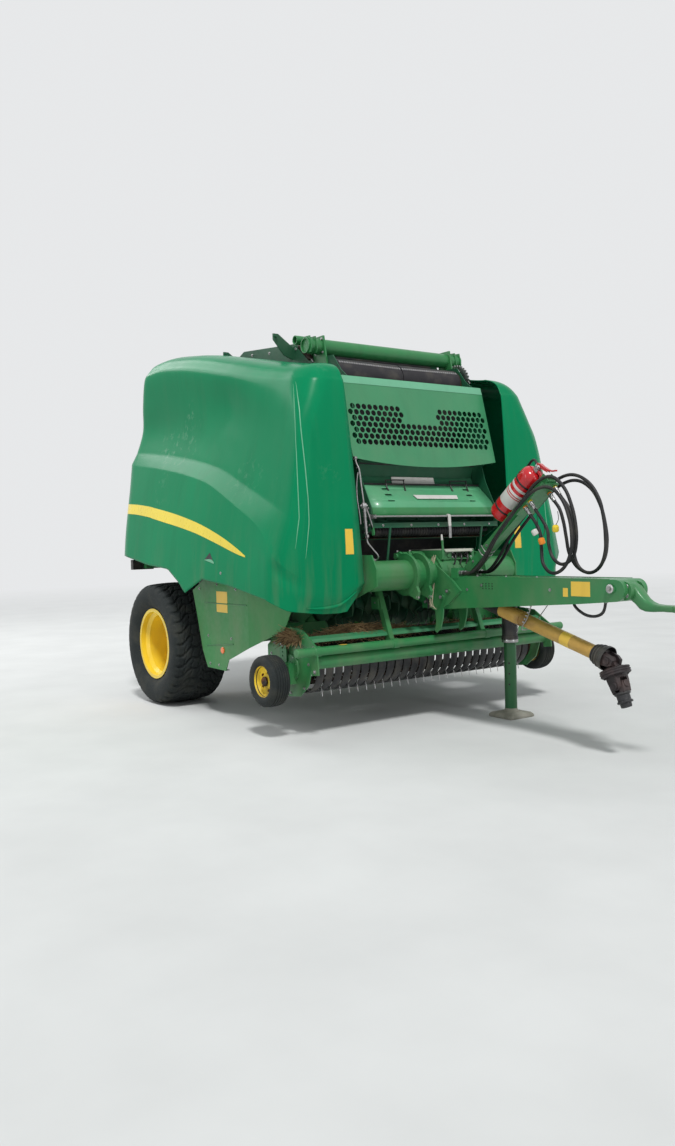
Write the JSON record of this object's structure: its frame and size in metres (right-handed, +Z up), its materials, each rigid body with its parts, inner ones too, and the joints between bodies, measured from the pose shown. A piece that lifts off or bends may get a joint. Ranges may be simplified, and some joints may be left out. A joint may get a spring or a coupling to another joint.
{
  "type": "round baler",
  "caption": "Towed variable-chamber round baler with moulded side shields, perforated front grille, wide pickup, box drawbar, drive shaft, jack and flotation tyres.",
  "frame": {"origin": "on the ground under the middle of the machine's box", "axes": "+X forward to the hitch, +Y to the machine's left, +Z up"},
  "size_m": [5.2999, 2.79, 3.0529],
  "materials": {
    "green_paint": "gloss",
    "dark_green_paint": "satin",
    "shield_plastic": "gloss",
    "yellow_paint": "gloss",
    "tyre": "matte",
    "belt": "matte",
    "ribbed_rubber": "matte",
    "hose_rubber": "satin",
    "black_plastic": "satin",
    "tan_plastic": "satin",
    "zinc_steel": "satin",
    "cast_iron": "rough",
    "red_paint": "gloss",
    "spring_steel": "satin",
    "lamp_black": "satin"
  },
  "bodies": {
    "chassis": {"axle": "green_paint", "frame": "green_paint", "chamber_walls": "green_paint", "side_skirts": "green_paint", "grille": "green_paint", "top_tube": "green_paint", "chamber_rollers": "zinc_steel", "chamber_belts": "belt", "net_box": "dark_green_paint", "net_linkage": "zinc_steel", "gearbox": "green_paint", "drawbar": "green_paint", "hitch_tongue": "green_paint", "hose_rack": "green_paint", "extinguisher": "red_paint", "hose_1": "hose_rubber", "hose_2": "hose_rubber", "hose_3": "hose_rubber", "hose_4": "hose_rubber", "hose_couplers": "zinc_steel", "jack_sleeve": "black_plastic", "rear_lamps": "lamp_black"},
    "wheel_left": {"tyre_left": "tyre", "rim_left": "yellow_paint"},
    "wheel_right": {"tyre_right": "tyre", "rim_right": "yellow_paint"},
    "pickup": {"pickup_frame": "green_paint", "pickup_bands": "black_plastic"},
    "reel": {"tine_reel": "spring_steel"},
    "guard": {"wind_guard": "green_paint"},
    "gauge_left": {"gauge_wheel_left": "tyre"},
    "gauge_right": {"gauge_wheel_right": "tyre"},
    "shield_left_body": {"shield_left": "shield_plastic"},
    "shield_right_body": {"shield_right": "shield_plastic"},
    "gate": {"gate_frame": "green_paint", "gate_belts": "belt"},
    "barrel_left": {"gate_barrel_left": "dark_green_paint"},
    "barrel_right": {"gate_barrel_right": "dark_green_paint"},
    "rod_left": {"gate_rod_left": "zinc_steel"},
    "rod_right": {"gate_rod_right": "zinc_steel"},
    "net_lid": {"net_cover": "green_paint"},
    "net_feed": {"net_roller": "ribbed_rubber"},
    "rotor": {"feed_rotor": "dark_green_paint"},
    "jack": {"jack_leg": "green_paint"},
    "shaft": {"pto_rear": "black_plastic"},
    "shaft_front": {"pto_front": "tan_plastic"},
    "shaft_yoke": {"pto_yoke": "cast_iron"}
  },
  "joints": [
    {"name": "wheel_left_spin", "type": "hinge", "parent": "chassis", "child": "wheel_left", "pos_m": [-1.7, 1.11, 0.52], "axis": [0, 1, 0], "continuous": true},
    {"name": "wheel_right_spin", "type": "hinge", "parent": "chassis", "child": "wheel_right", "pos_m": [-1.7, -1.11, 0.52], "axis": [0, 1, 0], "continuous": true},
    {"name": "pickup_lift", "type": "hinge", "parent": "chassis", "child": "pickup", "pos_m": [-0.4, 0, 0.83], "axis": [0, 1, 0], "range_deg": [0, 12]},
    {"name": "reel_spin", "type": "hinge", "parent": "pickup", "child": "reel", "pos_m": [0.23, 0, 0.48], "axis": [0, 1, 0], "continuous": true},
    {"name": "guard_tilt", "type": "hinge", "parent": "pickup", "child": "guard", "pos_m": [0.2, 0, 0.74], "axis": [0, -1, 0], "range_deg": [0, 30]},
    {"name": "gauge_left_spin", "type": "hinge", "parent": "pickup", "child": "gauge_left", "pos_m": [0.23, 1.32, 0.406], "axis": [0, 1, 0], "continuous": true},
    {"name": "gauge_right_spin", "type": "hinge", "parent": "pickup", "child": "gauge_right", "pos_m": [0.23, -1.32, 0.406], "axis": [0, 1, 0], "continuous": true},
    {"name": "shield_left_open", "type": "hinge", "parent": "chassis", "child": "shield_left_body", "pos_m": [-0.9, 0.775, 2.968], "axis": [1, 0, 0], "range_deg": [0, 50]},
    {"name": "shield_right_open", "type": "hinge", "parent": "chassis", "child": "shield_right_body", "pos_m": [-0.9, -0.775, 2.968], "axis": [-1, 0, 0], "range_deg": [0, 50]},
    {"name": "gate_swing", "type": "hinge", "parent": "chassis", "child": "gate", "pos_m": [-1.3, 0, 2.7], "axis": [0, 1, 0], "range_deg": [0, 55]},
    {"name": "barrel_left_swing", "type": "hinge", "parent": "chassis", "child": "barrel_left", "pos_m": [-1, 0.672, 1.3], "axis": [0, 1, 0], "range_deg": [0, 16.8]},
    {"name": "barrel_right_swing", "type": "hinge", "parent": "chassis", "child": "barrel_right", "pos_m": [-1, -0.672, 1.3], "axis": [0, 1, 0], "range_deg": [0, 16.8]},
    {"name": "rod_left_slide", "type": "slide", "parent": "barrel_left", "child": "rod_left", "axis": [-0.6743, 0, 0.7385], "range_m": [0, 0.539]},
    {"name": "rod_right_slide", "type": "slide", "parent": "barrel_right", "child": "rod_right", "axis": [-0.6743, 0, 0.7385], "range_m": [0, 0.539]},
    {"name": "net_lid_open", "type": "hinge", "parent": "chassis", "child": "net_lid", "pos_m": [0.33, 0, 1.769], "axis": [0, -1, 0], "range_deg": [0, 60]},
    {"name": "net_feed_spin", "type": "hinge", "parent": "chassis", "child": "net_feed", "pos_m": [0.41, 0, 1.425], "axis": [0, 1, 0], "continuous": true},
    {"name": "rotor_spin", "type": "hinge", "parent": "chassis", "child": "rotor", "pos_m": [-0.14, 0, 0.85], "axis": [0, 1, 0], "continuous": true},
    {"name": "jack_slide", "type": "slide", "parent": "chassis", "child": "jack", "axis": [0, 0, 1], "range_m": [0, 0.3]},
    {"name": "shaft_pitch", "type": "hinge", "parent": "chassis", "child": "shaft", "pos_m": [0.8, 0, 0.975], "axis": [0, 1, 0], "range_deg": [-1, 6]},
    {"name": "shaft_telescope", "type": "slide", "parent": "shaft", "child": "shaft_front", "axis": [0.9593, 0, -0.2823], "range_m": [-0.15, 0.15]},
    {"name": "shaft_yoke_swing", "type": "hinge", "parent": "shaft_front", "child": "shaft_yoke", "pos_m": [2.09987, 0, 0.59243], "axis": [0, 1, 0], "range_deg": [-45, 12]}
  ],
  "couplings": [
    {"joint": "barrel_left_swing", "follows": "gate_swing", "ratio": 0.2881},
    {"joint": "barrel_right_swing", "follows": "gate_swing", "ratio": 0.2881},
    {"joint": "rod_left_slide", "follows": "gate_swing", "m_per_rad": 0.5566},
    {"joint": "rod_right_slide", "follows": "gate_swing", "m_per_rad": 0.5566}
  ]
}
